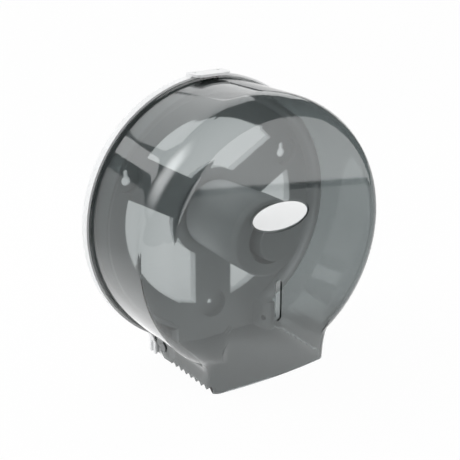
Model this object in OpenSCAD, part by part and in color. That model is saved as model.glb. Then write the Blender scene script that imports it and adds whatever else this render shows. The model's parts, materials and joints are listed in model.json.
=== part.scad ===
// Jumbo toilet roll dispenser: a moulded back plate that hangs on a wall, a fixed
// axle with a turning core spool, a clear smoke-grey drum cover that tips forward
// on two pins at its foot, and a spring latch behind a flap at the top.
//
// Frame: X to the right as seen from the front, Y towards the wall, Z up. The wall
// is the plane y = 0 and the drum's axis is the Y axis. Most pieces are drawn in
// the front view, with x across, y up and the third direction h measured from the
// wall, and from_wall() stands them up.

/* [Cover] */
// Outside radius of the drum's side wall
drum_r = 130.25; // [128:0.25:132]
// Thickness of the cover's wall
cover_wall = 2.5; // [2:0.1:3]
// Distance from the wall to the cover's front face
face_h = 120.3; // [119.8:0.1:130]
// Distance from the wall to the cover's back edge
cover_back_h = 9.5; // [9.3:0.1:10.5]
// How far the front edge's rounding reaches in from the side wall
corner_in = 19.6; // [12:0.2:26]
// How far the front edge's rounding reaches back from the face
corner_back = 36.1; // [20:0.5:45]
// How far the back rim stands out from the side wall
rim_out = 1.75; // [1:0.05:2]
// Width of the back rim along the drum's axis
rim_w = 2.4; // [1.5:0.1:4]

/* [Chin] */
// Half of the chin's outside width
chin_half = 66.9; // [62:0.1:70]
// How far the chin's bottom lies below the drum's side wall
chin_past = 6.05; // [6:0.05:14]
// How far the chin's front edge at the bottom lies behind the face
chin_front_back = 5.1; // [4.5:0.1:8]
// Slope of the chin's front wall, in degrees
chin_slope = 4.84; // [3:0.02:6]
// Radius of the chin's upright front corners
chin_corner_r = 9; // [6:0.5:14]
// Radius of the bow across the chin's front
chin_bow_r = 500; // [300:10:900]
// Radius of the hollow between drum and chin
chin_fillet_r = 16; // [8:0.5:24]

/* [Teeth] */
// Number of tearing teeth on each side
teeth_n = 8; // [4:1:8]
// Height of a tooth
tooth_depth = 3.5; // [2:0.1:5]
// Distance from the wall to the first tooth
tooth_first_h = 40.2; // [36:0.1:41]
// Distance from the last tooth to the start of the chin's round front corner
tooth_front_gap = 5.07; // [5:0.05:9]
// How far the teeth's tips end above the chin's bottom
tooth_rise = 2; // [0.5:0.1:3]

/* [Window and badge] */
// Width of the sight slot
slot_w = 7.06; // [5:0.02:12]
// Distance from the drum's axis down to the slot's top
slot_top = 35.5; // [32:0.5:45]
// Distance from the drum's axis down to the slot's bottom
slot_bottom = 76; // [55:0.5:90]
// Width of the badge
badge_w = 60.2; // [40:0.1:80]
// Height of the badge
badge_t = 25.2; // [16:0.1:30]
// Height of the badge's centre above the drum's axis
badge_up = 26.1; // [22:0.1:50]
// Width of the groove round the badge
badge_gap = 2.3; // [1:0.1:4]
// Depth of the badge's pocket in the cover
badge_pocket = 1; // [0.5:0.1:1.4]
// Thickness of the badge
badge_thick = 1.5; // [1.1:0.1:2]

/* [Plate] */
// How far the plate's flange shows outside the cover's rim
flange_past = 2; // [1:0.1:4]
// Distance from the wall to the front of the flange
flange_h = 9; // [8:0.1:9.1]
// Thickness of the plate's walls
plate_wall = 2.5; // [2:0.1:2.8]
// Distance from the wall to the plate's front face
web_h = 12.2; // [12:0.1:14]
// Width of the raised rim
ridge_w = 5; // [4:0.5:7]
// Gap between the raised rim and the inside of the cover
ridge_gap = 4.75; // [4.55:0.05:6]
// How far the raised rim's outside is centred above the drum's axis
rim_ridge_up = 3; // [2.6:0.1:3.4]
// Distance from the wall to the raised rim's front
rim_ridge_h = 30.5; // [26:0.5:31]
// Inside radius of the three openings
hole_in_r = 44.3; // [40:0.1:50]
// Distance from the three openings to the raised rim
hole_edge = 23.3; // [22:0.1:32]
// Half of a spoke's width
spoke_half = 20.9; // [19:0.1:26]

/* [Wall fixings] */
// Distance from the keyholes to the raised rim's inside, measured sideways
key_in = 29.73; // [28:0.01:32]
// Height of the keyholes' round entries above the drum's axis
key_up = 43.86; // [42:0.01:46]
// Radius of a keyhole's round entry
key_r = 4.5; // [4:0.1:5]
// Width of a keyhole's neck
key_neck_w = 4.2; // [3.5:0.1:5]
// How far the neck's end lies above the round entry's centre
key_rise = 8.2; // [7:0.1:9]
// Radius of the recess round a keyhole
key_cup_r = 13.5; // [12.8:0.1:14]
// Distance from the lower screw hole to the raised rim's inside
low_in = 19.5; // [19:0.1:21]
// Radius of the lower screw hole
low_r = 2.4; // [2:0.1:3]
// Radius of the recess round the lower screw hole
low_cup_r = 14.5; // [10:0.1:15]
// Distance from the wall to the screw seats
seat_h = 4.4; // [4.2:0.1:5]
// Thickness of the screw seats
seat_t = 2.4; // [2:0.1:2.8]

/* [Hinge] */
// Radius of the hinge pins
pin_r = 3; // [2:0.1:3.5]
// Running clearance round each hinge pin
pin_clear = 0.05; // [0.02:0.01:0.1]
// Distance from the wall to the hinge pins
pin_h = 25.9; // [25.7:0.1:26.2]
// How far the hinge pins lie above the chin's bottom
pin_rise = 13.1; // [12.9:0.1:13.3]
// Radius of a hinge pin's head
pin_head_r = 4.8; // [4:0.1:5]
// Thickness of a hinge pin's head
pin_head_t = 1; // [0.8:0.1:1.5]
// Half of the free width between the hinge posts
post_in = 52; // [48:0.5:54]
// Gap between a hinge post and the cover's side wall
post_gap = 1; // [0.5:0.1:1.5]
// Distance from the wall to the front of the hinge posts
post_h = 32; // [31:0.1:34]

/* [Spool] */
// Radius of the fixed axle
axle_r = 14; // [12:0.1:15]
// Thickness of the axle's wall
axle_wall = 2.5; // [2:0.1:3]
// Running clearance between axle and spool
axle_clear = 0.06; // [0.02:0.01:0.1]
// Radius of the axle's flange
axle_flange_r = 26.5; // [25:0.1:28]
// Radius of the spool where the core sits
core_r = 36.4; // [36:0.1:37]
// Radius of the spool at its back end
core_back_r = 33.5; // [32.5:0.1:34.5]
// Distance from the wall to the spool's back end
core_back_h = 16.7; // [16:0.1:18]
// Distance from the spool's front end to the front of the cover's face
core_front_back = 14.4; // [13.8:0.1:17]
// Radius of the opening in the spool's front
core_hole_r = 23.6; // [21:0.1:27]
// Thickness of the spool's wall
core_wall = 2.5; // [2:0.1:3]
// Radius of the axle's cap
cap_r = 18.3; // [17:0.1:20]
// Distance from the cap's front to the front of the cover's face
cap_back = 5.5; // [4.3:0.1:8]

/* [Latch] */
// Half of the flap's width at its root
flap_half = 20; // [19.6:0.1:24]
// How far the flap's top lies above the cover's rim
flap_past = 4; // [3.6:0.1:6]
// Distance from the wall to the flap's front edge
flap_h = 19; // [14:0.1:22]
// Thickness of the flap
flap_t = 2.4; // [2:0.1:2.4]
// Half of the distance between the two key holes
prong_half = 13; // [12.6:0.1:13.4]
// Radius of the two key holes
prong_r = 1.6; // [1:0.1:1.9]
// How far the latch travels down
latch_travel = 3.5; // [2:0.1:3.5]
// Radius of the latch springs' wire
wire_r = 0.35; // [0.25:0.01:0.4]
// Number of turns in a latch spring
spring_turns = 8; // [5:1:10]
// Radius of the latch springs, measured to the wire's middle
spring_r = 1.9; // [1.7:0.05:1.9]

/* [Hidden] */
$fn = 96;

// Past any edge, for cuts
far = 200;
// Extra reach of a cut beyond the face that it opens
over = 1;
// Gap between flat faces that move past each other
slide_gap = 0.3;
// Steps in a quarter of a rounded outline
arc_steps = 16;
// How far a fillet's arc crosses the walls that it blends
cross = 0.03;

// Cover
corner_start_h = face_h - corner_back;
rim_r = drum_r + rim_out;
cover_in_r = drum_r - cover_wall;
chin_drop = drum_r + chin_past;
chin_front_h = face_h - chin_front_back;
fillet_reach = chin_half + chin_fillet_r;
fillet_drop = sqrt(pow(drum_r + chin_fillet_r, 2) - pow(fillet_reach, 2));
fillet_fade = 15;
fillet_root = 8;
chin_in = chin_half - cover_wall;

// Teeth, spread evenly up to the chin's front corner
tooth_drop = chin_drop - tooth_rise;
tooth_last_h = chin_front_h - chin_corner_r - tooth_front_gap;
tooth_pitch = (tooth_last_h - tooth_first_h) / (teeth_n - 1);
tooth_tip_half = 0.5;

// Hinge: the heel is where the chin's walls are cut back to swing past the plate's
// foot, each corner given towards the wall and down from the pin
pin_drop = chin_drop - pin_rise;
pin_head_gap = 0.1;
pin_head_clear = 0.4;
heel = [[pin_h - cover_back_h, -2.2], [10.4, 1.8], [5.9, 5.2], [-0.6, tooth_drop - pin_drop]];
post_out = chin_in - post_gap;
post_round = 9;
post_len = 30.3;

// Catch tongue on the top of the cover's rim, and the window that the latch enters
tongue_half = 9;
tongue_back_h = 1.9;
tongue_window_half = 5;
tongue_window_h = [3.4, 6.6];

// Plate
web_back_h = web_h - plate_wall;
flange_r = rim_r + flange_past;
flange_back_h = flange_h - plate_wall;
foot_past = 0.6;
plate_half = chin_half + foot_past;
plate_fillet_less = 2;
rim_ridge_r = cover_in_r - ridge_gap;
rim_in_r = rim_ridge_r - ridge_w;
ridge_round = 7;
ridge_chamfer = 1.5;
hole_out_r = rim_in_r - hole_edge;
key_half = rim_in_r - key_in;
key_cup_up = key_up + 3;
low_drop = rim_in_r - low_in;
strip_w = 2;
strip_h = flange_h + 2.2;
strip_drop = pin_drop - 0.4;
foot_window_w = 5;
foot_window_drop = pin_drop + 1;
foot_window_h = flange_back_h + 0.8;
rim_window_reach = 4.8;
rim_window_x = [prong_half - 2.6, prong_half + 1.4];
rim_window_up = [rim_in_r - 3, rim_in_r + 4];
rim_window_h = [web_h + 1.3, web_h + rim_window_reach];
opening_back_h = 3;
centre_boss_r = 10;
centre_bore_r = 8;
centre_floor = 2;

// Flap, seen from above: its sides step in twice towards the front
flap_up = rim_r + flap_past;
flap_under = flap_up - flap_t;
flap_shoulder = 1.9;
flap_nose = 4.5;
flap_corner = 2.4;

// Latch: heights are above the drum's axis
bay_half = 17.3;
bay_deep = 26;
bay_low = flap_up - bay_deep;
rib_t = 2;
mouth_gap = 1.5;
keeper_h = [0.4, 1.6];
keeper_half = 19;
keeper_side_gap = 0.2;
keeper_over = 1.5;
keeper_gap = 0.6;
slider_h = [keeper_h[1] + 0.5, flange_back_h - 0.4];
slider_half = bay_half - 0.7;
bar_drop = [13, 9.2];
bar_up = [flap_up - bar_drop[0], flap_up - bar_drop[1]];
leg_w = 2.4;
leg_clear = 0.5;
leg_low = bay_low + latch_travel + leg_clear;
key_pad_half = 2.4;
latch_tooth_half = tongue_window_half - 0.5;
latch_tooth_h = tongue_window_h[0] + 0.4;
latch_tooth_up = rim_r - cover_wall - 0.7;
spring_x = 9;
spring_h = (slider_h[0] + slider_h[1]) / 2;
spring_end_gap = 0.05;
peg_r = 1.2;
peg_len = 3;

// Spool
screw_ring_r = 20;
screw_r = 1.75;
screw_hole_r = 2;
screw_pilot_r = 1.8;
screw_head_r = 3.2;
screw_head_t = 2.4;
screw_boss_r = 4;
screw_boss_h = 23;
screw_tip_h = 21;
screw_tip_gap = 1.5;
drive_long = 2;
drive_half = 0.4;
drive_depth = 1.2;
cap_h = face_h - cap_back;
core_front_h = face_h - core_front_back;
axle_end_h = cap_h - plate_wall;
axle_rib_half = 1;
axle_rib_gap = 3;
flange_t = 3;
rear_web_in = 17.3;
rear_web_h = core_back_h + rear_web_in;
rear_hub_len = 12;
hub_wall = 2.5;
bore_r = axle_r + axle_clear;
land_len = 29.9;
land_back_h = core_front_h - land_len;
ring_len = 10.9;
ring_back_h = core_front_h - ring_len;
ring_web_in = 17.9;
ring_web_h = core_front_h - ring_web_in;
ring_hub_len = 6;
ring_edge_r = 4;
spigot_len = 6;
spigot_gap = 0.1;
cap_gap = 0.5;
cap_edge = 1.5;
cap_wall = 2.2;
cap_collar_len = 3;
cap_collar_gap = 0.02;
cap_plug_len = 8;
cap_plug_gap = 0.1;
cap_back_h = ring_web_h + core_wall + cap_gap;

// Stands a front-view drawing up, with its third direction leaving the wall
module from_wall() {
    rotate([90, 0, 0]) children();
}

// Lifts a flat shape to run from one distance from the wall to another
module slab(h0, h1) {
    translate([0, 0, h0]) linear_extrude(h1 - h0) children();
}

// A box given by its lowest and highest corners in the front view
module box(low, high) {
    translate(low) cube(high - low);
}

// Both the right-hand copy and its mirror image
module both_sides() {
    children();
    mirror([1, 0, 0]) children();
}

// A quarter of an ellipse as points, from its side to its front
function quarter(cx, cy, rx, ry) = [
    for (i = [0 : arc_steps]) let (a = 90 * i / arc_steps) [cx + rx * cos(a), cy + ry * sin(a)]
];

// A whole ellipse as points
function ellipse_points(rx, ry) = [
    for (i = [0 : 6 * arc_steps - 1]) let (a = 60 * i / arc_steps) [rx * cos(a), ry * sin(a)]
];

// Hollow corner between a circle and the chin's side, seen from the front. The arc
// meets both at a slight angle, so that the surfaces cross instead of only touching.
module fillet_shape(circle_r, half, r) {
    reach = half + r;
    drop = sqrt(pow(circle_r + r, 2) - pow(reach, 2));
    inside = (circle_r - cover_wall / 2) / (circle_r + r);
    both_sides() difference() {
        polygon([
            [half - fillet_root, 2 * fillet_root - drop], [reach * inside, -drop * inside],
            [reach, -drop], [half - fillet_root, -drop]
        ]);
        translate([reach, -drop]) circle(r + cross);
    }
}

// Drum with a rounded front edge, inset by a wall
module drum(inset) {
    r = drum_r - inset;
    top_h = face_h - inset;
    start_h = inset > 0 ? cover_back_h - over : cover_back_h;
    rotate_extrude() polygon(concat(
        [[0, start_h], [r, start_h]],
        quarter(r - corner_in + inset, corner_start_h, corner_in - inset, top_h - corner_start_h),
        [[0, top_h]]
    ));
}

// Level section of the chin: x across, y back from its front edge
module chin_section(inset) {
    half = chin_half - inset;
    r = chin_corner_r - inset;
    translate([0, inset]) intersection() {
        union() {
            translate([-half, r]) square([2 * half, far]);
            translate([r - half, 0]) square([2 * (half - r), r + over]);
            both_sides() translate([half - r, r]) circle(r);
        }
        translate([0, chin_bow_r - inset]) circle(chin_bow_r - inset, $fn = 360);
    }
}

// Chin block, inset by a wall and open below when it is the hollow
module chin(inset) {
    low = inset > 0 ? far : chin_drop;
    start_h = inset > 0 ? cover_back_h - over : cover_back_h;
    intersection() {
        box([-far, -low, start_h], [far, -pin_drop / 2, face_h - inset]);
        translate([0, -chin_drop, chin_front_h]) rotate([chin_slope - 90, 0, 0])
            translate([0, 0, -far / 2]) linear_extrude(far * 1.5) chin_section(inset);
    }
}

// Fillets between drum and chin, fading out round the drum's front edge
module chin_fillets(inset) {
    r = drum_r - inset;
    wide_r = norm([chin_half, fillet_drop]) + over / 2 - inset;
    start_h = inset > 0 ? cover_back_h - over : cover_back_h;
    intersection() {
        slab(start_h, face_h) fillet_shape(r, chin_half - inset, chin_fillet_r + inset);
        rotate_extrude() polygon(concat(
            [[0, start_h], [wide_r, start_h]],
            quarter(wide_r - corner_in, corner_start_h, corner_in, fillet_fade - inset),
            [[0, corner_start_h + fillet_fade - inset]]
        ));
    }
}

module cover_body(inset) {
    drum(inset);
    chin(inset);
    chin_fillets(inset);
}

// Side view of what is cut from the chin's side walls: the back corner that swings
// past the plate's foot, and the spaces between the teeth
module side_cut() {
    root = tooth_drop - tooth_depth;
    end_h = tooth_last_h + 0.8 * tooth_pitch;
    points = concat(
        [[0, -far], [0, pin_rise - chin_drop - heel[0][1]]],
        [for (p = heel) [pin_h - p[0], -pin_drop - p[1]]],
        [for (n = [0 : teeth_n - 1]) let (h = tooth_first_h + n * tooth_pitch)
            for (p = [[h - tooth_tip_half, -tooth_drop], [h + tooth_tip_half, -tooth_drop],
                      [h + 0.43 * tooth_pitch, -root]]) p],
        [[end_h, -chin_drop], [end_h, -far]]
    );
    both_sides() translate([chin_in - over, 0, 0]) rotate([90, 0, 90])
        linear_extrude(cover_wall + 2 * over) polygon([for (p = points) [p[1], p[0]]]);
}

module slot_shape() {
    r = slot_w / 2;
    for (drop = [slot_top + r, slot_bottom - r]) translate([0, -drop]) circle(r);
    translate([-r, r - slot_bottom]) square([slot_w, slot_bottom - slot_top - slot_w]);
}

module badge_shape(grow) {
    translate([0, badge_up]) polygon(ellipse_points(badge_w / 2 + grow, badge_t / 2 + grow));
}

// Tongue at the top of the rim that goes in under the flap, with the latch's window
module catch_tongue() {
    difference() {
        intersection() {
            slab(tongue_back_h, cover_back_h + rim_w) difference() {
                circle(rim_r);
                circle(rim_r - cover_wall);
            }
            box([-tongue_half, 0, 0], [tongue_half, far, far]);
        }
        box([-tongue_window_half, 0, tongue_window_h[0]], [tongue_window_half, far, tongue_window_h[1]]);
    }
}

module front_cover() {
    color([0.30, 0.33, 0.33, 0.5]) from_wall() {
        difference() {
            union() {
                cover_body(0);
                slab(cover_back_h, cover_back_h + rim_w) circle(rim_r);
            }
            cover_body(cover_wall);
            side_cut();
            slab(face_h - 2 * cover_wall, face_h + over) slot_shape();
            slab(face_h - badge_pocket, face_h + over) badge_shape(badge_gap);
            both_sides() translate([chin_in - over, -pin_drop, pin_h]) rotate([0, 90, 0])
                cylinder(r = pin_r + pin_clear, h = cover_wall + 2 * over);
            // Room for the pins' heads, which the hollow above them flares towards
            both_sides() translate([chin_half, -pin_drop, pin_h]) rotate([0, 90, 0])
                cylinder(r = pin_head_r + pin_head_clear, h = fillet_root);
        }
        catch_tongue();
    }
}

module badge() {
    color("white") from_wall()
        slab(face_h - badge_pocket, face_h - badge_pocket + badge_thick) badge_shape(0);
}

// Outline of the plate as seen from the front, inset by a wall
module plate_outline(inset) {
    circle(flange_r - inset);
    translate([inset - plate_half, -chin_drop + inset]) square([2 * (plate_half - inset), chin_drop]);
    fillet_shape(flange_r - inset, plate_half - inset, chin_fillet_r - plate_fillet_less + inset);
}

// The three openings between the spokes, grown by a wall
module opening_shape(grow) {
    difference() {
        circle(hole_out_r + grow);
        circle(hole_in_r - grow);
        for (a = [30, 150, 270]) rotate(a)
            translate([0, grow - spoke_half]) square([far, 2 * (spoke_half - grow)]);
    }
}

// Bowl inside the raised rim, grown by a wall
module rim_bowl(grow) {
    r = rim_in_r + grow;
    turn = ridge_round - grow;
    rotate_extrude() polygon(concat(
        [[0, -over], [r, -over]],
        [for (p = quarter(0, 0, turn, turn)) [r + turn - p[0], rim_ridge_h - ridge_round + p[1]]],
        [[r + turn, far], [0, far]]
    ));
}

// Raised rim round the roll space, hollow from behind
module raised_rim() {
    difference() {
        translate([0, rim_ridge_up, 0]) rotate_extrude() polygon([
            [0, flange_back_h], [rim_ridge_r, flange_back_h],
            [rim_ridge_r, rim_ridge_h - ridge_chamfer], [rim_ridge_r - ridge_chamfer, rim_ridge_h],
            [0, rim_ridge_h]
        ]);
        rim_bowl(0);
        difference() {
            translate([0, rim_ridge_up, -over])
                cylinder(r = rim_ridge_r - plate_wall, h = rim_ridge_h - plate_wall + over);
            rim_bowl(plate_wall);
        }
        box([-post_in, -far, 0], [post_in, -rim_in_r / 2, far]);
    }
}

// Round seat that reaches back to the wall, with a recess in front of it
module seat_cup(r) {
    difference() {
        cylinder(r = r + plate_wall, h = web_h);
        translate([0, 0, seat_h]) cylinder(r = r, h = far);
        translate([0, 0, -over]) cylinder(r = r, h = seat_h - seat_t + over);
    }
}

module keyhole_shape() {
    circle(key_r);
    translate([0, key_rise]) circle(key_neck_w / 2);
    translate([-key_neck_w / 2, 0]) square([key_neck_w, key_rise]);
}

// Hinge post at one side of the outlet, hollow from behind
module hinge_post() {
    low = -chin_drop;
    high = post_len - chin_drop;
    difference() {
        intersection() {
            union() {
                box([post_in, low, flange_back_h], [far, high, post_h - post_round]);
                box([post_in + post_round, low, flange_back_h], [far, high, post_h]);
                translate([post_in + post_round, high, post_h - post_round]) rotate([90, 0, 0])
                    cylinder(r = post_round, h = high - low);
            }
            box([post_in - over, low, 0], [post_out, high, far]);
        }
        box([post_in + plate_wall, low + plate_wall, -over],
            [post_out - plate_wall, high + over, pin_h - pin_r - plate_wall]);
    }
}

// Foot strips beside the outlet that show past the cover's side walls
module foot_strip() {
    box([plate_half - strip_w, -chin_drop, flange_back_h], [plate_half, -strip_drop, strip_h]);
}

// Flap over the cover's rim, seen from above
module flap() {
    shoulder = flap_half - flap_shoulder;
    nose = flap_half - flap_nose;
    translate([0, flap_up, 0]) rotate([90, 0, 0]) linear_extrude(flap_t) polygon([
        [-flap_half, 0], [flap_half, 0], [flap_half, flange_h], [shoulder, flap_h - flap_corner],
        [nose, flap_h], [-nose, flap_h], [-shoulder, flap_h - flap_corner], [-flap_half, flange_h]
    ]);
    both_sides() box([bay_half, bar_up[0], 0], [flap_half, flap_up - over, flange_h]);
}

// Ribs and pegs behind the web that guide the latch and carry its springs
module latch_bay() {
    both_sides() box([bay_half, bay_low - rib_t, keeper_h[1]],
        [bay_half + rib_t, bar_up[0] + over, web_back_h + over]);
    box([-bay_half, bay_low - rib_t, keeper_h[1]], [bay_half, bay_low, web_back_h + over]);
    both_sides() translate([spring_x, bay_low, spring_h]) rotate([-90, 0, 0])
        cylinder(r = peg_r, h = peg_len);
}

module back_plate() {
    color("white") from_wall() {
        difference() {
            union() {
                difference() {
                    slab(0, flange_h) plate_outline(0);
                    slab(-over, flange_back_h) plate_outline(plate_wall);
                    slab(0, far) circle(rim_in_r + plate_wall / 2);
                }
                slab(web_back_h, web_h) circle(rim_in_r + plate_wall / 2);
                slab(flange_back_h, web_h) difference() {
                    circle(rim_in_r + plate_wall);
                    circle(rim_in_r);
                }
                raised_rim();
                slab(opening_back_h, web_h) opening_shape(plate_wall);
                both_sides() {
                    hinge_post();
                    foot_strip();
                    translate([key_half, key_cup_up, 0]) seat_cup(key_cup_r);
                }
                translate([0, -low_drop, 0]) seat_cup(low_cup_r);
                cylinder(r = centre_boss_r, h = web_h);
                flap();
            }
            slab(-over, far) opening_shape(0);
            // Recesses and holes of the wall fixings
            both_sides() {
                translate([key_half, key_cup_up, seat_h]) cylinder(r = key_cup_r, h = far);
                slab(-over, seat_h + over) translate([key_half, key_up]) keyhole_shape();
            }
            translate([0, -low_drop, seat_h]) cylinder(r = low_cup_r, h = far);
            translate([0, -low_drop, -over]) cylinder(r = low_r, h = seat_h + 2 * over);
            // Centre bore and the axle's screw holes
            translate([0, 0, centre_floor]) cylinder(r = centre_bore_r, h = far);
            for (a = [90, 210, 330]) rotate(a) translate([screw_ring_r, 0, -over])
                cylinder(r = screw_hole_r, h = web_h + 2 * over);
            // Hinge pin holes
            both_sides() translate([post_in - over, -pin_drop, pin_h]) rotate([0, 90, 0])
                cylinder(r = pin_r, h = far);
            // Latch bay, its mouth for the cover's tongue, the keeper's rebate and the key holes
            box([-bay_half, rim_in_r + plate_wall, -over], [bay_half, flap_under, flange_back_h]);
            box([-tongue_half - mouth_gap, cover_in_r, -over],
                [tongue_half + mouth_gap, flap_under, flange_h + over]);
            box([-keeper_half - keeper_side_gap, bay_low - 2 * rib_t, -over],
                [keeper_half + keeper_side_gap, flap_under, keeper_h[1]]);
            both_sides() translate([prong_half, flap_under - over, spring_h]) rotate([-90, 0, 0])
                cylinder(r = prong_r, h = flap_t + 2 * over);
            // Small windows below the latch, through the raised rim's inner wall
            both_sides() box([rim_window_x[0], rim_window_up[0], rim_window_h[0]],
                [rim_window_x[1], rim_window_up[1], rim_window_h[1]]);
            // Side windows of the feet
            both_sides() box([plate_half - foot_window_w, -far, opening_back_h],
                [far, -foot_window_drop, foot_window_h]);
        }
        latch_bay();
    }
}

module axle() {
    color("gainsboro") from_wall() difference() {
        union() {
            slab(web_h, web_h + flange_t) circle(axle_flange_r);
            translate([0, 0, web_h]) cylinder(r = axle_r, h = axle_end_h - web_h);
            for (a = [90, 210, 330]) rotate(a) translate([screw_ring_r, 0, web_h])
                cylinder(r = screw_boss_r, h = screw_boss_h - web_h);
            for (a = [30, 150, 270]) rotate(a)
                box([axle_r - over, -axle_rib_half, web_h],
                    [axle_flange_r - axle_rib_gap, axle_rib_half, screw_boss_h]);
        }
        translate([0, 0, web_h - over]) cylinder(r = axle_r - axle_wall, h = far);
        for (a = [90, 210, 330]) rotate(a) translate([screw_ring_r, 0, web_h - over])
            cylinder(r = screw_pilot_r, h = screw_tip_h + screw_tip_gap - web_h);
    }
}

module axle_screws() {
    color("silver") from_wall() for (a = [90, 210, 330]) rotate(a) translate([screw_ring_r, 0, 0]) {
        translate([0, 0, web_back_h - screw_head_t]) difference() {
            cylinder(r = screw_head_r, h = screw_head_t);
            for (turn = [0, 90]) rotate(turn)
                box([-drive_long, -drive_half, -over], [drive_long, drive_half, drive_depth]);
        }
        translate([0, 0, web_back_h]) cylinder(r = screw_r, h = screw_tip_h - web_back_h);
    }
}

module axle_cap() {
    plug_r = axle_r - axle_wall - cap_plug_gap;
    color("white") from_wall() difference() {
        union() {
            translate([0, 0, cap_back_h]) cylinder(r = cap_r, h = cap_h - cap_edge - cap_back_h);
            rotate_extrude() polygon(concat(
                [[0, cap_h - cap_edge]],
                quarter(cap_r - cap_edge, cap_h - cap_edge, cap_edge, cap_edge),
                [[0, cap_h]]
            ));
        }
        difference() {
            translate([0, 0, cap_back_h - over])
                cylinder(r = cap_r - cap_wall, h = axle_end_h - cap_back_h + over);
            translate([0, 0, cap_back_h - 2 * over])
                cylinder(r = cap_r, h = cap_collar_len + 2 * over);
            translate([0, 0, axle_end_h - cap_plug_len]) cylinder(r = plug_r, h = cap_plug_len + over);
        }
        translate([0, 0, cap_back_h - over])
            cylinder(r = axle_r + cap_collar_gap, h = cap_collar_len + 2 * over);
        translate([0, 0, cap_back_h])
            cylinder(r = plug_r + cap_plug_gap - cap_wall, h = axle_end_h - cap_back_h);
    }
}

module core_sleeve() {
    color("gainsboro") from_wall() difference() {
        rotate_extrude() polygon([
            [0, core_back_h], [core_back_r, core_back_h], [core_r, land_back_h], [core_r, ring_back_h],
            [0, ring_back_h]
        ]);
        difference() {
            rotate_extrude() polygon([
                [0, core_back_h - over], [core_back_r - core_wall, core_back_h - over],
                [core_r - core_wall, land_back_h], [core_r - core_wall, ring_back_h + over],
                [0, ring_back_h + over]
            ]);
            translate([0, 0, rear_web_h]) cylinder(r = core_r, h = core_wall);
            translate([0, 0, rear_web_h]) cylinder(r = bore_r + hub_wall, h = rear_hub_len);
        }
        translate([0, 0, core_back_h]) cylinder(r = bore_r, h = far);
    }
}

module core_end_ring() {
    spigot_r = core_r - core_wall - spigot_gap;
    collar_r = core_hole_r + hub_wall;
    hollow_len = core_front_h - ring_back_h + spigot_len - core_wall;
    color("white") from_wall() difference() {
        union() {
            rotate_extrude() polygon(concat(
                [[0, ring_back_h], [core_r, ring_back_h]],
                quarter(core_r - ring_edge_r, core_front_h - ring_edge_r, ring_edge_r, ring_edge_r),
                [[0, core_front_h]]
            ));
            translate([0, 0, ring_back_h - spigot_len]) cylinder(r = spigot_r, h = spigot_len + over);
            translate([0, 0, ring_web_h - ring_hub_len])
                cylinder(r = bore_r + hub_wall, h = ring_hub_len + over);
            translate([0, 0, ring_web_h]) cylinder(r = collar_r, h = core_front_h - ring_web_h);
        }
        // Hollow between the spigot and the inner collar, open to the back
        translate([0, 0, ring_back_h - spigot_len - over]) difference() {
            cylinder(r = spigot_r - core_wall, h = hollow_len + over);
            cylinder(r = collar_r, h = far);
        }
        translate([0, 0, ring_web_h + core_wall]) cylinder(r = core_hole_r, h = far);
        translate([0, 0, ring_web_h - ring_hub_len - over]) cylinder(r = bore_r, h = far);
    }
}

module latch_slider() {
    color("lightgray") from_wall() {
        box([-slider_half, bar_up[0], slider_h[0]], [slider_half, bar_up[1], slider_h[1]]);
        both_sides() {
            box([slider_half - leg_w, leg_low, slider_h[0]], [slider_half, bar_up[0], slider_h[1]]);
            box([prong_half - key_pad_half, bar_up[1], slider_h[0]],
                [prong_half + key_pad_half, flap_under - slide_gap, slider_h[1]]);
            translate([spring_x, bar_up[0], spring_h]) rotate([90, 0, 0]) cylinder(r = peg_r, h = peg_len);
        }
        box([-latch_tooth_half, bar_up[1], latch_tooth_h], [latch_tooth_half, latch_tooth_up, slider_h[1]]);
    }
}

// One unbroken coil of wire between the bay's floor and the slider's bar
module latch_spring() {
    length = bar_up[0] - bay_low;
    rise = length - 2 * (wire_r + spring_end_gap);
    rings = spring_turns * 12;
    sides = 6;
    middle = [for (i = [0 : rings]) let (a = 360 * spring_turns * i / rings)
        [spring_r * cos(a), wire_r + spring_end_gap + rise * i / rings, spring_r * sin(a)]];
    points = [for (i = [0 : rings]) let (a = 360 * spring_turns * i / rings)
        for (s = [0 : sides - 1]) let (b = 360 * s / sides)
            middle[i] + wire_r * [cos(b) * cos(a), sin(b), cos(b) * sin(a)]];
    faces = concat(
        [for (i = [0 : rings - 1], s = [0 : sides - 1]) let (t = (s + 1) % sides)
            each [[i * sides + s, i * sides + t, (i + 1) * sides + t],
                  [i * sides + s, (i + 1) * sides + t, (i + 1) * sides + s]]],
        [for (s = [1 : sides - 2]) [0, s + 1, s]],
        [for (s = [1 : sides - 2]) [rings * sides, rings * sides + s, rings * sides + s + 1]]
    );
    translate([0, bay_low, spring_h]) polyhedron(points, faces, convexity = 10);
}

module latch_spring_left() {
    color("silver") from_wall() translate([-spring_x, 0, 0]) latch_spring();
}

module latch_spring_right() {
    color("silver") from_wall() translate([spring_x, 0, 0]) latch_spring();
}

module latch_keeper() {
    color("lightgray") from_wall()
        box([-keeper_half, bay_low - rib_t - keeper_over, keeper_h[0]],
            [keeper_half, flap_under - keeper_gap, keeper_h[1]]);
}

module hinge_pin() {
    head_x = chin_half + pin_head_gap;
    color("white") from_wall() translate([0, -pin_drop, pin_h]) rotate([0, 90, 0]) {
        translate([0, 0, post_in + over]) cylinder(r = pin_r, h = head_x - post_in - over + pin_head_t / 2);
        translate([0, 0, head_x]) cylinder(r = pin_head_r, h = pin_head_t);
    }
}

module hinge_pin_left() {
    mirror([1, 0, 0]) hinge_pin();
}

module hinge_pin_right() {
    hinge_pin();
}

back_plate();
axle();
axle_screws();
axle_cap();
core_sleeve();
core_end_ring();
latch_slider();
latch_spring_left();
latch_spring_right();
latch_keeper();
front_cover();
badge();
hinge_pin_left();
hinge_pin_right();
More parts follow.
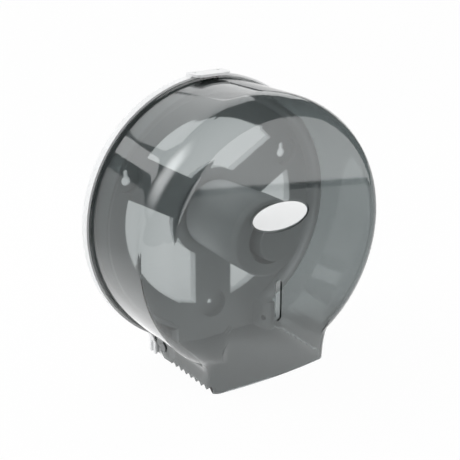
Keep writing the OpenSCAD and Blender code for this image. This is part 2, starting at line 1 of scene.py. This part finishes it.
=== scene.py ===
"""The looks of a jumbo toilet roll dispenser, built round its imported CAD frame.

Lengths here are in millimetres unless a name says otherwise; place() turns a front-view
point (x across, up, distance from the wall) into Blender's metres in the CAD frame.
"""

import json
import math

import bmesh
import bpy
import numpy as np
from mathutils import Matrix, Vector


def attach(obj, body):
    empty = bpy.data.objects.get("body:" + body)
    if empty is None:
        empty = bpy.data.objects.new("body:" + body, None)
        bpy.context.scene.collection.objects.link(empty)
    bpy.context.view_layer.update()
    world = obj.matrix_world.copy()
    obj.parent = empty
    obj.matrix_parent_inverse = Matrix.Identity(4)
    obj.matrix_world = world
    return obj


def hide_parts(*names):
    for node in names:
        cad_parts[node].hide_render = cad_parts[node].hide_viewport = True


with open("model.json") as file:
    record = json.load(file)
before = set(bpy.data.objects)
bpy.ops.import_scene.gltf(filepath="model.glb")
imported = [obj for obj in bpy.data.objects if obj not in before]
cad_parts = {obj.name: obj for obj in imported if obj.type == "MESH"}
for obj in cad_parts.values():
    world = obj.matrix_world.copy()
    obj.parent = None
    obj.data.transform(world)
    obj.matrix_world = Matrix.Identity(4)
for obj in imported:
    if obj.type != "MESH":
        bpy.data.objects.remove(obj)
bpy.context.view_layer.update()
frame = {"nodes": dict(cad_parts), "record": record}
nodes = frame["nodes"]

MM = 0.001

# The photograph's camera, solved from the cover's rim, silhouette, teeth, badge and slot
CAMERA_AT = Vector((-484.86, -741.17, 301.27)) * MM
CAMERA_LOOKS = Vector((0.53544, 0.77123, -0.34426))
CAMERA_LENS = 74.18
SENSOR = 36.0

# Cover: the drum. Its soft crease, low down on each side, is in the looks only
DRUM_R = 130.25
FACE_H = 120.3
BACK_H = 9.5
CORNER_IN = 19.6
CORNER_BACK = 36.1
CREASED_IN = 24.0
CREASED_CENTRE_R = 108.3
CREASE_H = 98.8
CREASE_FADE = [84, 112]
WALL = 2.5
RIM_OUT = 1.75
RIM_W = 2.4

# Cover: the chin. Its block's middle lies above its bottom and reaches as far up as down
CHIN_HALF = 66.9
CHIN_DROP = 136.3
CHIN_FRONT_H = 115.2
CHIN_SLOPE = math.radians(4.84)
CHIN_CORNER_R = 9.0
CHIN_MIDDLE_RISE = 37
CHIN_REACH_UP = 43
CHIN_BOW = 0.001
BOW_FADE = [-122, -84]
SLOPE_RISE = 60.2
SLOPE_BLEND = 16.0
FILLET_AT_H = [56, 84, 105, 110, 116, 119]
FILLET_SIZES = [7.5, 7.0, 8.0, 6.0, 1.5, 0.4]
OVERHANG = 5.0
OVERHANG_FADE = [54, 72]

# Cover: the teeth, cut half a millimetre deeper than in the CAD model
TEETH = 8
TOOTH_PITCH = 8.705
TOOTH_DEPTH = 4.0
TOOTH_FIRST_H = 40.2
TOOTH_DROP = 134.3
TIP_HALF = 0.9
TIP_ROUND = 0.8
BACK_CORNER = [(BACK_H, -121), (15.5, -125), (20, -128.4), (26.5, -TOOTH_DROP)]
CUT_DROP = 170

# Cover: the slot, the badge and its pocket, the pins and the catch's tongue
SLOT_HALF = 3.53
SLOT_TOP = 35.5
SLOT_BOTTOM = 76.0
BADGE_HALF_W = 30.1
BADGE_HALF_T = 12.6
BADGE_UP = 26.1
BADGE_GAP = 2.3
BADGE_POCKET = 1.0
BADGE_THICK = 1.5
PIN_R = 3.0
PIN_HEAD_R = 4.8
PIN_H = 25.9
PIN_DROP = 123.2
TONGUE_HALF = 9
TONGUE_UP = (127.8, 131.9)
TONGUE_H = (1.9, BACK_H + 1.5)
WINDOW_HALF = 5
WINDOW_UP = (125, 135)
WINDOW_H = (3.4, 6.6)

# Where rays that find the cover's outside start, and how far they look
RAY_H = 40.0
SIDE_REACH = 200
FRONT_REACH = 90

# Clear smoke plastic: absorption per metre of a pure black, and its colour
SMOKE_DENSITY = 412.0
SMOKE_TINT = (0.20, 0.266, 0.27)

# Table: the way its front edge faces, how far off it lies and its dark edge's size
TABLE_TURN = 21.0
TABLE_EDGE = 671.0
TABLE_HALF_W = 1900.0
EDGE_BAR = 9.0
EDGE_BAR_THICK = 4
EDGE_BAR_ENDS = (-700.0, 1400.0)

# Backdrop: its bend, its distance behind the wall's plane and its top
BEND_R = 200.0
BACKDROP_BACK = 800.0
BACKDROP_TOP = 290.0

# The table's look: how white it is to the eye, how far from the foot its shadow shows
# through the cover, and how much brighter it is in reflections near the foot and far off
EYE_WHITE = 0.97
SHADOW_REACH = (110 * MM, 260 * MM)
MIRROR_REACH = (110 * MM, 480 * MM)
MIRROR_EXTRA = (0.5, -0.05)

# Brightness of the room around the lamps: for matt surfaces, for those behind the clear
# cover, and in reflections
ROOM_LIGHT = 0.55
ROOM_INSIDE = 0.72
ROOM_GLOSS = 0.12

# What the lamps are aimed at, in metres
LIT_POINT = Vector((-0.03, -0.07, 0.04))


def place(x, up, h):
    """A front-view point as a Blender vector, in metres."""
    return Vector((x, -h, up)) * MM


def new_object(name, mesh):
    """An object for a mesh, linked to the scene."""
    obj = bpy.data.objects.new(name, mesh)
    bpy.context.scene.collection.objects.link(obj)
    return obj


def mesh_object(name, points, faces):
    """An object from front-view points and faces, with its normals pointing out."""
    mesh = bpy.data.meshes.new(name)
    mesh.from_pydata([place(*p) for p in points], [], faces)
    bm = bmesh.new()
    bm.from_mesh(mesh)
    bmesh.ops.recalc_face_normals(bm, faces=bm.faces)
    bm.to_mesh(mesh)
    bm.free()
    return new_object(name, mesh)


def apply_modifiers(obj):
    """Replaces an object's mesh by what its modifiers make of it."""
    bpy.context.view_layer.update()
    shaped = obj.evaluated_get(bpy.context.evaluated_depsgraph_get())
    mesh = bpy.data.meshes.new_from_object(shaped)
    obj.modifiers.clear()
    obj.data = mesh


def smooth(obj, degrees=32):
    """Smooth shading, with edges sharper than an angle left sharp."""
    obj.data.shade_smooth()
    obj.data.set_sharp_from_angle(angle=math.radians(degrees))


def cut(obj, tool, operation="DIFFERENCE"):
    """Cuts obj with a tool object, and deletes the tool."""
    modifier = obj.modifiers.new("cut", "BOOLEAN")
    modifier.operation = operation
    modifier.solver = "EXACT"
    modifier.object = tool
    apply_modifiers(obj)
    bpy.data.objects.remove(tool)


# Camera

def make_camera():
    """The photograph's camera."""
    data = bpy.data.cameras.new("camera")
    data.lens = CAMERA_LENS
    data.sensor_width = SENSOR
    data.clip_start = 0.01
    camera = new_object("camera", data)
    camera.location = CAMERA_AT
    camera.rotation_euler = CAMERA_LOOKS.to_track_quat("-Z", "Y").to_euler()
    bpy.context.scene.camera = camera


# Materials

def new_material(name):
    """A material with its shader node, and helpers to wire more nodes."""
    material = bpy.data.materials.new(name)
    material.use_nodes = True
    tree = material.node_tree
    return material, tree, tree.nodes["Principled BSDF"]


def add(tree, kind, **settings):
    """A node with its attributes and input defaults set."""
    made = tree.nodes.new(kind)
    for key, value in settings.items():
        if key in made.inputs:
            made.inputs[key].default_value = value
        else:
            setattr(made, key, value)
    return made


def moulded_plastic(name, light, dark, roughness, grain=0.25):
    """Satin moulded plastic: faint colour drift, a fine moulded grain and uneven gloss."""
    material, tree, shader = new_material(name)
    links = tree.links
    where = add(tree, "ShaderNodeTexCoord").outputs["Object"]
    drift = add(tree, "ShaderNodeTexNoise", Scale=18.0, Detail=3.0)
    links.new(where, drift.inputs["Vector"])
    ramp = add(tree, "ShaderNodeValToRGB")
    ramp.color_ramp.elements[0].position = 0.35
    ramp.color_ramp.elements[0].color = (*dark, 1)
    ramp.color_ramp.elements[1].position = 0.65
    ramp.color_ramp.elements[1].color = (*light, 1)
    links.new(drift.outputs["Fac"], ramp.inputs["Fac"])
    links.new(ramp.outputs["Color"], shader.inputs["Base Color"])
    gloss = add(tree, "ShaderNodeMapRange")
    gloss.inputs["To Min"].default_value = roughness - 0.05
    gloss.inputs["To Max"].default_value = roughness + 0.07
    links.new(drift.outputs["Fac"], gloss.inputs["Value"])
    links.new(gloss.outputs["Result"], shader.inputs["Roughness"])
    fine = add(tree, "ShaderNodeTexNoise", Scale=2600.0, Detail=2.0)
    links.new(where, fine.inputs["Vector"])
    bump = add(tree, "ShaderNodeBump", Strength=grain, Distance=0.00004)
    links.new(fine.outputs["Fac"], bump.inputs["Height"])
    links.new(bump.outputs["Normal"], shader.inputs["Normal"])
    return material


def smoke_plastic():
    """Clear smoke-grey plastic: tinted all through, polished, with faint uneven gloss."""
    material, tree, shader = new_material("smoke_clear_plastic")
    links = tree.links
    shader.inputs["Base Color"].default_value = (1, 1, 1, 1)
    shader.inputs["Transmission Weight"].default_value = 1.0
    shader.inputs["IOR"].default_value = 1.57
    where = add(tree, "ShaderNodeTexCoord").outputs["Object"]
    wear = add(tree, "ShaderNodeTexNoise", Scale=30.0, Detail=4.0)
    links.new(where, wear.inputs["Vector"])
    gloss = add(tree, "ShaderNodeMapRange")
    gloss.inputs["To Min"].default_value = 0.03
    gloss.inputs["To Max"].default_value = 0.06
    links.new(wear.outputs["Fac"], gloss.inputs["Value"])
    links.new(gloss.outputs["Result"], shader.inputs["Roughness"])
    tint = add(tree, "ShaderNodeVolumeAbsorption", Density=SMOKE_DENSITY)
    tint.inputs["Color"].default_value = (*SMOKE_TINT, 1)
    output = tree.nodes["Material Output"]
    links.new(tint.outputs["Volume"], output.inputs["Volume"])
    return material


def zinc_steel():
    """Zinc-plated steel with a fine drawn streak."""
    material, tree, shader = new_material("zinc_steel")
    links = tree.links
    shader.inputs["Metallic"].default_value = 1.0
    where = add(tree, "ShaderNodeTexCoord").outputs["Object"]
    streak = add(tree, "ShaderNodeTexNoise", Scale=900.0, Detail=3.0)
    links.new(where, streak.inputs["Vector"])
    ramp = add(tree, "ShaderNodeValToRGB")
    ramp.color_ramp.elements[0].color = (0.52, 0.53, 0.54, 1)
    ramp.color_ramp.elements[1].color = (0.74, 0.75, 0.76, 1)
    links.new(streak.outputs["Fac"], ramp.inputs["Fac"])
    links.new(ramp.outputs["Color"], shader.inputs["Base Color"])
    shader.inputs["Roughness"].default_value = 0.35
    return material


def set_material(obj, material):
    """Gives an object one material."""
    obj.data.materials.clear()
    obj.data.materials.append(material)


# Cover: distances to its outside, in the front view. Negative is inside.

def drum_distance(x, y, h):
    """Distance to the drum. Low down, its rounded front edge starts at a soft crease."""
    r = np.hypot(x, y)
    start_h = FACE_H - CORNER_BACK
    creased = np.interp(np.degrees(np.arctan2(np.abs(x), -y)), CREASE_FADE, [1, 0])
    corner_in = CORNER_IN + (CREASED_IN - CORNER_IN) * creased
    centre_r = DRUM_R - CORNER_IN + (CREASED_CENTRE_R - DRUM_R + CORNER_IN) * creased
    u = np.maximum(r - centre_r, 0) / corner_in
    v = np.maximum(h - start_h, 0) / CORNER_BACK
    f = np.sqrt(u * u + v * v) + 1e-9
    slope = np.hypot(u / corner_in, v / CORNER_BACK) / f + 1e-9
    corner = np.maximum((f - 1) / slope, r - DRUM_R)
    flat = np.where(r < centre_r, h - FACE_H, r - DRUM_R)
    return np.where((r >= centre_r) & (h >= start_h), corner, flat)


def smooth_min(a, b, k):
    """The lesser of two distances, blended over k."""
    t = np.maximum(k - np.abs(a - b), 0) / k
    return np.minimum(a, b) - t * t * k / 4


def chin_front(x, y):
    """Height of the chin's sloped, bowed front, which runs up into the drum's face."""
    rise = smooth_min(y + CHIN_DROP, SLOPE_RISE, SLOPE_BLEND)
    bow = CHIN_BOW * np.interp(y, BOW_FADE, [1, 0])
    return CHIN_FRONT_H + math.tan(CHIN_SLOPE) * rise - bow * x * x


def chin_distance(x, y, h):
    """Distance to the chin's block, with round front corners."""
    depth = (chin_front(x, y) - h) * math.cos(CHIN_SLOPE)
    out_x = np.abs(x) - (CHIN_HALF - CHIN_CORNER_R)
    out_h = CHIN_CORNER_R - depth
    rounded = np.hypot(np.maximum(out_x, 0), np.maximum(out_h, 0))
    side = rounded + np.minimum(np.maximum(out_x, out_h), 0) - CHIN_CORNER_R
    return np.maximum(side, np.abs(y + CHIN_DROP - CHIN_MIDDLE_RISE) - CHIN_REACH_UP)


def cover_distance(x, y, h):
    """Distance to the whole cover. The fillet beside the chin tightens to the front."""
    k = np.interp(h, FILLET_AT_H, FILLET_SIZES)
    joined = smooth_min(drum_distance(x, y, h), chin_distance(x, y, h), k)
    past_front = (h - chin_front(x, y)) * math.cos(CHIN_SLOPE)
    beside_chin = OVERHANG * np.interp(np.abs(x), OVERHANG_FADE, [0, 1])
    return np.maximum(joined, past_front - beside_chin)


def cast(origins, directions, reach):
    """Points where rays from inside the cover reach its outside."""
    low = np.zeros(len(origins))
    high = np.full(len(origins), float(reach))
    for _ in range(40):
        middle = (low + high) / 2
        p = origins + directions * middle[:, None]
        inside = cover_distance(p[:, 0], p[:, 1], p[:, 2]) < 0
        low = np.where(inside, middle, low)
        high = np.where(inside, high, middle)
    return origins + directions * low[:, None]


def cover_columns():
    """Angles round the drum, closer together about the chin."""
    drum_part = np.arange(-48, 228, 1.5)
    chin_part = np.arange(228, 312, 0.5)
    return np.radians(np.concatenate([drum_part, chin_part]))


def cover_surface():
    """The cover's outside, open at the back: side, rounded front edge, face."""
    a = cover_columns()
    n = len(a)
    ux, uy = np.cos(a), np.sin(a)
    radial = np.stack([ux, uy, np.zeros(n)], 1)
    start_h = FACE_H - CORNER_BACK
    mid = np.stack([np.zeros(n), np.zeros(n), np.full(n, RAY_H)], 1)
    outline = np.hypot(*cast(mid, radial, SIDE_REACH)[:, :2].T)
    rows = []
    side_h = [BACK_H + 0.06, BACK_H + RIM_W - 0.3, BACK_H + RIM_W, BACK_H + RIM_W + 0.6]
    side_h += list(np.linspace(BACK_H + 6, CREASE_H - 0.6, 24)) + [CREASE_H]
    for h in side_h:
        hit = cast(np.stack([0 * a, 0 * a, 0 * a + h], 1), radial, SIDE_REACH)
        on_rim = 1.0 if h < BACK_H + RIM_W - 0.1 else 0.0
        rows.append(hit + radial * RIM_OUT * on_rim)
    corner_in = DRUM_R - CREASED_CENTRE_R
    centre = radial * (outline - corner_in)[:, None]
    centre[:, 2] = start_h
    crease = math.degrees(math.atan2((CREASE_H - start_h) / CORNER_BACK, 1.0))
    for t in np.radians(np.linspace(crease + 3, 90, 26)):
        d = radial * corner_in * math.cos(t)
        d[:, 2] = CORNER_BACK * math.sin(t)
        rows.append(cast(centre, d / np.linalg.norm(d, axis=1)[:, None], FRONT_REACH))
    forward = np.array([[0.0, 0.0, 1.0]])
    for share in np.linspace(1, 0.05, 24)[1:]:
        base = radial * ((outline - corner_in) * share)[:, None]
        base[:, 2] = start_h
        rows.append(cast(base, np.repeat(forward, n, 0), FRONT_REACH))
    points = np.concatenate(rows)
    middle = cast(np.array([[0.0, 0.0, start_h]]), forward, FRONT_REACH)
    faces = []
    for i in range(len(rows) - 1):
        for j in range(n):
            k = (j + 1) % n
            faces.append((i * n + j, i * n + k, (i + 1) * n + k, (i + 1) * n + j))
    last = (len(rows) - 1) * n
    faces += [(last + j, last + (j + 1) % n, len(points)) for j in range(n)]
    return np.concatenate([points, middle]), faces


def prism(name, outline, low, high, along):
    """A closed prism. along says which front-view direction it runs in: x or h."""
    def point(p, at):
        return (at, p[1], p[0]) if along == "x" else (p[0], p[1], at)

    n = len(outline)
    points = [point(p, low) for p in outline] + [point(p, high) for p in outline]
    faces = [tuple(range(n)), tuple(range(2 * n - 1, n - 1, -1))]
    faces += [(i, (i + 1) % n, n + (i + 1) % n, n + i) for i in range(n)]
    return mesh_object(name, points, faces)


def arc(cx, cy, rx, ry, start, stop, steps):
    """Points along an ellipse's arc, in degrees."""
    angles = [math.radians(start + (stop - start) * i / steps) for i in range(steps + 1)]
    return [(cx + rx * math.cos(t), cy + ry * math.sin(t)) for t in angles]


def side_outline():
    """Side view of what is cut from the chin's walls: back corner and tooth spaces."""
    root = TOOTH_DROP - TOOTH_DEPTH
    points = [(0, -CUT_DROP), (0, BACK_CORNER[0][1])] + BACK_CORNER
    for n in range(TEETH):
        tip_h = TOOTH_FIRST_H + n * TOOTH_PITCH
        points += arc(tip_h, -TOOTH_DROP + TIP_ROUND, TIP_HALF, TIP_ROUND, 200, 340, 5)
        points.append((tip_h + 0.5 * TOOTH_PITCH, -root))
    last_h = TOOTH_FIRST_H + (TEETH - 0.2) * TOOTH_PITCH
    return points + [(last_h, -CHIN_DROP), (last_h, -CUT_DROP)]


def cylinder(name, radius, centre, low, high, along, steps=48):
    """A closed cylinder along x or h."""
    outline = arc(centre[0], centre[1], radius, radius, 0, 360, steps)[:-1]
    return prism(name, outline, low, high, along)


def bar(name, half, ups, heights):
    """A closed bar across the middle, between two ups and two distances from the wall."""
    low, high = ups
    return prism(name, [(-half, low), (half, low), (half, high), (-half, high)], *heights, "h")


def make_cover(material):
    """The smoke-clear cover, with its teeth, catch, slot and badge pocket."""
    points, faces = cover_surface()
    cover = mesh_object("smoke_cover", points.tolist(), faces)
    bm = bmesh.new()
    bm.from_mesh(cover.data)
    everything = bm.verts[:] + bm.edges[:] + bm.faces[:]
    bmesh.ops.bisect_plane(
        bm, geom=everything, plane_co=place(0, -CHIN_DROP, 0), plane_no=(0, 0, -1),
        clear_outer=True,
    )
    bm.to_mesh(cover.data)
    bm.free()
    shell = cover.modifiers.new("wall", "SOLIDIFY")
    shell.thickness = WALL * MM
    shell.offset = -1
    shell.use_even_offset = True
    apply_modifiers(cover)
    reach = CHIN_HALF - WALL - 1.5, CHIN_HALF + 3
    for side in (-1, 1):
        low, high = sorted((side * reach[0], side * reach[1]))
        cut(cover, prism("tooth_cutter", side_outline(), low, high, "x"))
        cut(cover, cylinder("pin_cutter", PIN_R + 0.05, (PIN_H, -PIN_DROP), low, high, "x"))
        seat = sorted((side * (CHIN_HALF - 0.05), side * (CHIN_HALF + 3)))
        cut(cover, cylinder("seat_cutter", PIN_HEAD_R + 0.4, (PIN_H, -PIN_DROP), *seat, "x"))
    cut(cover, bar("tongue", TONGUE_HALF, TONGUE_UP, TONGUE_H), "UNION")
    cut(cover, bar("tongue_window", WINDOW_HALF, WINDOW_UP, WINDOW_H))
    slot = arc(0, -SLOT_TOP - SLOT_HALF, SLOT_HALF, SLOT_HALF, 0, 180, 20)
    slot += arc(0, -SLOT_BOTTOM + SLOT_HALF, SLOT_HALF, SLOT_HALF, 180, 360, 20)
    cut(cover, prism("slot_cutter", slot, FACE_H - 6, FACE_H + 3, "h"))
    pocket = arc(0, BADGE_UP, BADGE_HALF_W + BADGE_GAP, BADGE_HALF_T + BADGE_GAP, 0, 360, 96)
    cut(cover, prism("pocket_cutter", pocket[:-1], FACE_H - BADGE_POCKET, FACE_H + 3, "h"))
    smooth(cover)
    set_material(cover, material)
    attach(cover, "cover")
    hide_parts("front_cover")


def make_badge(material):
    """The bare oval badge, with a softly rounded edge."""
    outline = arc(0, BADGE_UP, BADGE_HALF_W, BADGE_HALF_T, 0, 360, 128)[:-1]
    back = FACE_H - BADGE_POCKET + 0.02
    badge = prism("oval_badge", outline, back, back + BADGE_THICK - 0.04, "h")
    edge = badge.modifiers.new("edge", "BEVEL")
    edge.width = 0.45 * MM
    edge.segments = 3
    edge.limit_method = "ANGLE"
    apply_modifiers(badge)
    smooth(badge)
    set_material(badge, material)
    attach(badge, "cover")
    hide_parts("badge")


# Stage and light

def multiply(tree, first, second):
    """The product of two sockets."""
    made = add(tree, "ShaderNodeMath", operation="MULTIPLY")
    tree.links.new(first, made.inputs[0])
    tree.links.new(second, made.inputs[1])
    return made.outputs["Value"]


def larger(tree, first, second):
    """The larger of two sockets."""
    made = add(tree, "ShaderNodeMath", operation="MAXIMUM")
    tree.links.new(first, made.inputs[0])
    tree.links.new(second, made.inputs[1])
    return made.outputs["Value"]


def one_minus(tree, socket):
    """One less a socket, kept above zero."""
    made = add(tree, "ShaderNodeMath", operation="SUBTRACT", use_clamp=True)
    made.inputs[0].default_value = 1.0
    tree.links.new(socket, made.inputs[1])
    return made.outputs["Value"]


def seen_through(tree, path):
    """One for a straight look through clear plastic, before any matt surface."""
    return multiply(tree, path.outputs["Is Transmission Ray"],
                    one_minus(tree, path.outputs["Diffuse Depth"]))


def mirrored(tree, path):
    """One for a reflection, and not for a look through clear plastic."""
    return multiply(tree, path.outputs["Is Glossy Ray"],
                    one_minus(tree, path.outputs["Is Transmission Ray"]))


def white_surface(name):
    """White table paper: white to the eye, brighter in near reflections, softly shaded."""
    material, tree, shader = new_material(name)
    links = tree.links
    shader.inputs["Base Color"].default_value = (0.86, 0.86, 0.86, 1)
    shader.inputs["Roughness"].default_value = 0.9
    path = add(tree, "ShaderNodeLightPath")
    where = add(tree, "ShaderNodeNewGeometry").outputs["Position"]
    apart = add(tree, "ShaderNodeVectorMath", operation="DISTANCE")
    links.new(where, apart.inputs[0])
    apart.inputs[1].default_value = place(0, -CHIN_DROP, 60)
    away = add(tree, "ShaderNodeMapRange", interpolation_type="SMOOTHSTEP")
    away.inputs["From Min"].default_value = SHADOW_REACH[0]
    away.inputs["From Max"].default_value = SHADOW_REACH[1]
    links.new(apart.outputs["Value"], away.inputs["Value"])
    behind = multiply(tree, seen_through(tree, path), away.outputs["Result"])
    mirror = mirrored(tree, path)
    glance = larger(tree, mirror, behind)
    eye = add(tree, "ShaderNodeMath", operation="MULTIPLY")
    eye.inputs[1].default_value = EYE_WHITE
    links.new(path.outputs["Is Camera Ray"], eye.inputs[0])
    extra = add(tree, "ShaderNodeMapRange")
    extra.inputs["From Min"].default_value = MIRROR_REACH[0]
    extra.inputs["From Max"].default_value = MIRROR_REACH[1]
    extra.inputs["To Min"].default_value = MIRROR_EXTRA[0]
    extra.inputs["To Max"].default_value = MIRROR_EXTRA[1]
    links.new(apart.outputs["Value"], extra.inputs["Value"])
    glow = add(tree, "ShaderNodeEmission")
    strength = add(tree, "ShaderNodeMath", operation="ADD")
    strength.inputs[0].default_value = 1.0
    links.new(multiply(tree, mirror, extra.outputs["Result"]), strength.inputs[1])
    links.new(strength.outputs["Value"], glow.inputs["Strength"])
    mix = add(tree, "ShaderNodeMixShader")
    links.new(larger(tree, eye.outputs["Value"], glance), mix.inputs["Fac"])
    links.new(shader.outputs["BSDF"], mix.inputs[1])
    links.new(glow.outputs["Emission"], mix.inputs[2])
    links.new(mix.outputs["Shader"], tree.nodes["Material Output"].inputs["Surface"])
    return material


def heading(azimuth, elevation=0.0, reach=1.0):
    """A point seen from the object, in metres. Azimuth 0 is its front, 90 its right."""
    a, e = math.radians(azimuth), math.radians(elevation)
    away = Vector((math.sin(a) * math.cos(e), -math.cos(a) * math.cos(e), math.sin(e)))
    return LIT_POINT + away * reach


def make_stage():
    """A white table with a low backdrop, and the table's dark front edge."""
    floor_up = -CHIN_DROP - 0.02
    edge_way = Vector((math.sin(math.radians(TABLE_TURN)), -math.cos(math.radians(TABLE_TURN))))
    along = Vector((-edge_way.y, edge_way.x))
    profile = [(-TABLE_EDGE, floor_up)]
    profile += arc(BACKDROP_BACK - BEND_R, floor_up + BEND_R, BEND_R, BEND_R, -90, 0, 12)
    profile.append((BACKDROP_BACK, BACKDROP_TOP))
    points = []
    for side in (-TABLE_HALF_W, TABLE_HALF_W):
        start = edge_way * TABLE_EDGE + along * side
        points.append((start.x, floor_up, -start.y))
        points += [(side, up, -y) for y, up in profile[1:]]
    n = len(profile)
    faces = [(i, i + 1, n + i + 1, n + i) for i in range(n - 1)]
    table = mesh_object("white_table", points, faces)
    table.data.shade_smooth()
    set_material(table, white_surface("white_paper"))
    section = ((0, 0), (EDGE_BAR_THICK, 0), (EDGE_BAR_THICK, EDGE_BAR), (0, EDGE_BAR))
    corners = []
    for side in EDGE_BAR_ENDS:
        for out, up in section:
            spot = edge_way * (TABLE_EDGE + out) + along * side
            corners.append((spot.x, floor_up + up, -spot.y))
    sides = [(i, (i + 1) % 4, 4 + (i + 1) % 4, 4 + i) for i in range(4)]
    edge = mesh_object("table_edge", corners, sides + [(0, 1, 2, 3), (7, 6, 5, 4)])
    dark, _, shader = new_material("dark_edge")
    shader.inputs["Base Color"].default_value = (0.01, 0.01, 0.01, 1)
    set_material(edge, dark)


def fade_lamp(data, width):
    """Fades a rectangular lamp towards its edges, over a share of its width."""
    data.use_nodes = True
    tree = data.node_tree
    split = add(tree, "ShaderNodeSeparateXYZ")
    tree.links.new(add(tree, "ShaderNodeNewGeometry").outputs["Parametric"], split.inputs[0])
    fades = []
    for axis in ("X", "Y"):
        far = one_minus(tree, split.outputs[axis])
        near = add(tree, "ShaderNodeMath", operation="MINIMUM")
        tree.links.new(split.outputs[axis], near.inputs[0])
        tree.links.new(far, near.inputs[1])
        fade = add(tree, "ShaderNodeMapRange", interpolation_type="SMOOTHSTEP")
        fade.inputs["From Max"].default_value = width
        tree.links.new(near.outputs["Value"], fade.inputs["Value"])
        fades.append(fade.outputs["Result"])
    glow = tree.nodes["Emission"]
    tree.links.new(multiply(tree, *fades), glow.inputs["Strength"])


def soft_box(name, azimuths, elevations, radiance, soft=0.0, reach=1.5, through=False):
    """A rectangular lamp that fills a window of directions, at a given brightness.

    soft is the share of its width that fades out, and through says whether it is seen
    through clear plastic.
    """
    azimuth = sum(azimuths) / 2
    elevation = sum(elevations) / 2
    wide = math.radians(azimuths[1] - azimuths[0]) * math.cos(math.radians(elevation))
    tall = math.radians(elevations[1] - elevations[0])
    data = bpy.data.lights.new(name, "AREA")
    data.shape = "RECTANGLE"
    data.size = 2 * reach * math.tan(wide / 2)
    data.size_y = 2 * reach * math.tan(tall / 2)
    data.energy = radiance * math.pi * data.size * data.size_y
    lamp = new_object(name, data)
    lamp.visible_transmission = through
    lamp.location = heading(azimuth, elevation, reach)
    if soft:
        fade_lamp(data, soft)
    lamp.rotation_euler = (heading(0, 0, 0) - lamp.location).to_track_quat("-Z", "Y").to_euler()


def make_light():
    """The room's light, by kind of ray, and the lamps."""
    world = bpy.data.worlds.new("world")
    bpy.context.scene.world = world
    world.use_nodes = True
    tree = world.node_tree
    path = add(tree, "ShaderNodeLightPath")
    room = add(tree, "ShaderNodeMapRange")
    room.inputs["To Min"].default_value = ROOM_LIGHT
    room.inputs["To Max"].default_value = ROOM_GLOSS
    tree.links.new(mirrored(tree, path), room.inputs["Value"])
    inside = add(tree, "ShaderNodeMath", operation="MULTIPLY")
    inside.inputs[0].default_value = ROOM_INSIDE
    tree.links.new(path.outputs["Is Transmission Ray"], inside.inputs[1])
    white = larger(tree, path.outputs["Is Camera Ray"], seen_through(tree, path))
    room_or_inside = larger(tree, room.outputs["Result"], inside.outputs["Value"])
    strength = larger(tree, white, room_or_inside)
    background = tree.nodes["Background"]
    background.inputs["Color"].default_value = (1, 1, 1, 1)
    tree.links.new(strength, background.inputs["Strength"])
    soft_box("front_box", (8, 60), (-17.7, 17), 2.8)
    soft_box("left_box", (-142, -98), (8, 64), 5.5, soft=0.4, through=True)
    soft_box("back_box", (140, 205), (31, 52), 1.5, through=True)
    soft_box("back_right_box", (124, 163), (14, 31), 1.5)
    soft_box("left_strip", (-168, -138), (20.5, 27.5), 2.3)


make_camera()
make_stage()
make_light()

white = moulded_plastic("white_plastic", (0.86, 0.87, 0.87), (0.83, 0.84, 0.845), 0.36)
grey = moulded_plastic("pale_grey_plastic", (0.80, 0.82, 0.83), (0.77, 0.79, 0.80), 0.38)
badge_white = moulded_plastic("badge_plastic", (0.82, 0.83, 0.83), (0.80, 0.81, 0.81), 0.30, 0.08)
pin_grey = moulded_plastic("pin_plastic", (0.21, 0.22, 0.225), (0.19, 0.20, 0.205), 0.40)
steel = zinc_steel()
smoke = smoke_plastic()

SLOT_MATERIALS = {
    "white_abs": white, "grey_abs": grey, "badge_white": badge_white,
    "zinc_steel": steel, "smoke_clear": smoke,
}
for entry in frame["record"]["subparts"]:
    set_material(nodes[entry["node"]], SLOT_MATERIALS[entry["material_slot"]])

for side in ("left", "right"):
    set_material(nodes["hinge_pin_" + side], pin_grey)

make_cover(smoke)
make_badge(badge_white)

bpy.context.scene.view_settings.view_transform = "Standard"
bpy.context.scene.cycles.max_bounces = 24
bpy.context.scene.cycles.transmission_bounces = 24
